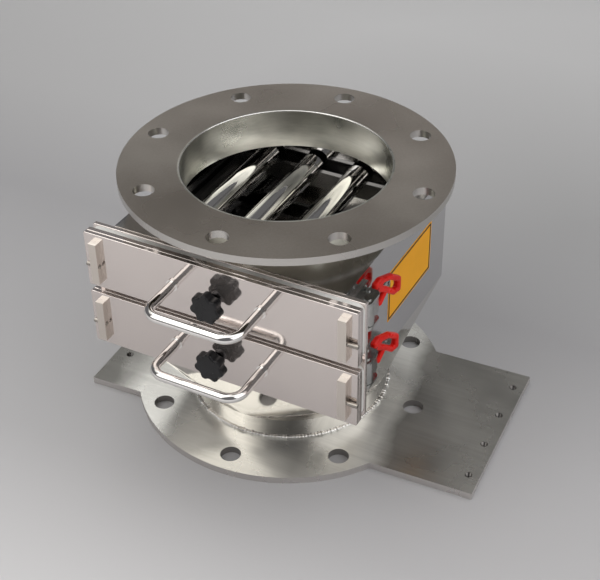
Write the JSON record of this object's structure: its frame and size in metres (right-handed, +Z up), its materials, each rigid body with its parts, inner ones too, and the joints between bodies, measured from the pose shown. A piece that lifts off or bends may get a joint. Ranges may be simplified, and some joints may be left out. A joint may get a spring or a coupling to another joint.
{
  "type": "two-drawer magnetic separator for a chute",
  "caption": "Square stainless housing between two round chute flanges, with pull-out drawers of magnet rods in thin tubes, star knobs, pull handles and side toggle latches.",
  "frame": {"origin": "centre of the lower flange's underside", "axes": "+Z up through the bore towards the inlet, the drawers pull out towards -Y, +X to the right of the drawer fronts"},
  "size_m": [0.4562, 0.373, 0.2814],
  "materials": {
    "flange_steel": "satin brushed stainless steel",
    "sheet_steel": "bright stainless sheet",
    "plate_steel": "finely polished stainless plate",
    "polished_steel": "mirror-polished stainless steel",
    "magnet_steel": "smooth stainless sleeve over the magnets",
    "handle_steel": "polished round bar",
    "weld_metal": "bright rippled weld",
    "seal_rubber": "white food-grade sponge",
    "grip_vinyl": "glossy red dip coating",
    "knob_plastic": "satin black plastic"
  },
  "bodies": {
    "housing": {"bottom_flange": "flange_steel", "bottom_neck": "polished_steel", "bottom_weld": "weld_metal", "hopper": "polished_steel", "left_wall": "polished_steel", "right_wall": "polished_steel", "rear_wall": "sheet_steel", "roof": "sheet_steel", "front_frame": "plate_steel", "top_neck": "polished_steel", "top_weld": "weld_metal", "top_flange": "flange_steel", "rails_lower": "sheet_steel", "rails_upper": "sheet_steel", "latch_base_lower": "sheet_steel", "latch_base_upper": "sheet_steel"},
    "drawer_lower": {"inner_plate_lower": "plate_steel", "seal_lower": "seal_rubber", "extractor_tubes_lower": "polished_steel", "cradle_lower": "sheet_steel"},
    "magnet_pack_lower": {"outer_plate_lower": "plate_steel", "magnet_rods_lower": "magnet_steel", "pins_lower": "plate_steel", "handle_lower": "handle_steel", "side_block_lower_left": "plate_steel", "side_block_lower_right": "plate_steel"},
    "knob_lower": {"star_knob_lower": "knob_plastic", "knob_stud_lower": "handle_steel"},
    "latch_lower": {"latch_lever_lower": "sheet_steel", "latch_grip_lower": "grip_vinyl", "latch_hook_lower": "sheet_steel"},
    "drawer_upper": {"inner_plate_upper": "plate_steel", "seal_upper": "seal_rubber", "extractor_tubes_upper": "polished_steel", "cradle_upper": "sheet_steel"},
    "magnet_pack_upper": {"outer_plate_upper": "plate_steel", "magnet_rods_upper": "magnet_steel", "pins_upper": "plate_steel", "handle_upper": "handle_steel", "side_block_upper_left": "plate_steel", "side_block_upper_right": "plate_steel"},
    "knob_upper": {"star_knob_upper": "knob_plastic", "knob_stud_upper": "handle_steel"},
    "latch_upper": {"latch_lever_upper": "sheet_steel", "latch_grip_upper": "grip_vinyl", "latch_hook_upper": "sheet_steel"}
  },
  "joints": [
    {"name": "drawer_slide_lower", "type": "slide", "parent": "housing", "child": "drawer_lower", "axis": [0, -1, 0], "range_m": [0, 0.2]},
    {"name": "magnet_slide_lower", "type": "slide", "parent": "drawer_lower", "child": "magnet_pack_lower", "axis": [0, -1, 0], "range_m": [0, 0.23]},
    {"name": "knob_turn_lower", "type": "hinge", "parent": "magnet_pack_lower", "child": "knob_lower", "pos_m": [0, -0.1455, 0.13625], "axis": [0, -1, 0], "continuous": true},
    {"name": "latch_turn_lower", "type": "hinge", "parent": "housing", "child": "latch_lower", "pos_m": [0.1395, -0.101, 0.13625], "axis": [0, 0, -1], "range_deg": [0, 95]},
    {"name": "drawer_slide_upper", "type": "slide", "parent": "housing", "child": "drawer_upper", "axis": [0, -1, 0], "range_m": [0, 0.2]},
    {"name": "magnet_slide_upper", "type": "slide", "parent": "drawer_upper", "child": "magnet_pack_upper", "axis": [0, -1, 0], "range_m": [0, 0.23]},
    {"name": "knob_turn_upper", "type": "hinge", "parent": "magnet_pack_upper", "child": "knob_upper", "pos_m": [0, -0.1455, 0.20775], "axis": [0, -1, 0], "continuous": true},
    {"name": "latch_turn_upper", "type": "hinge", "parent": "housing", "child": "latch_upper", "pos_m": [0.1395, -0.101, 0.20775], "axis": [0, 0, -1], "range_deg": [0, 95]}
  ]
}
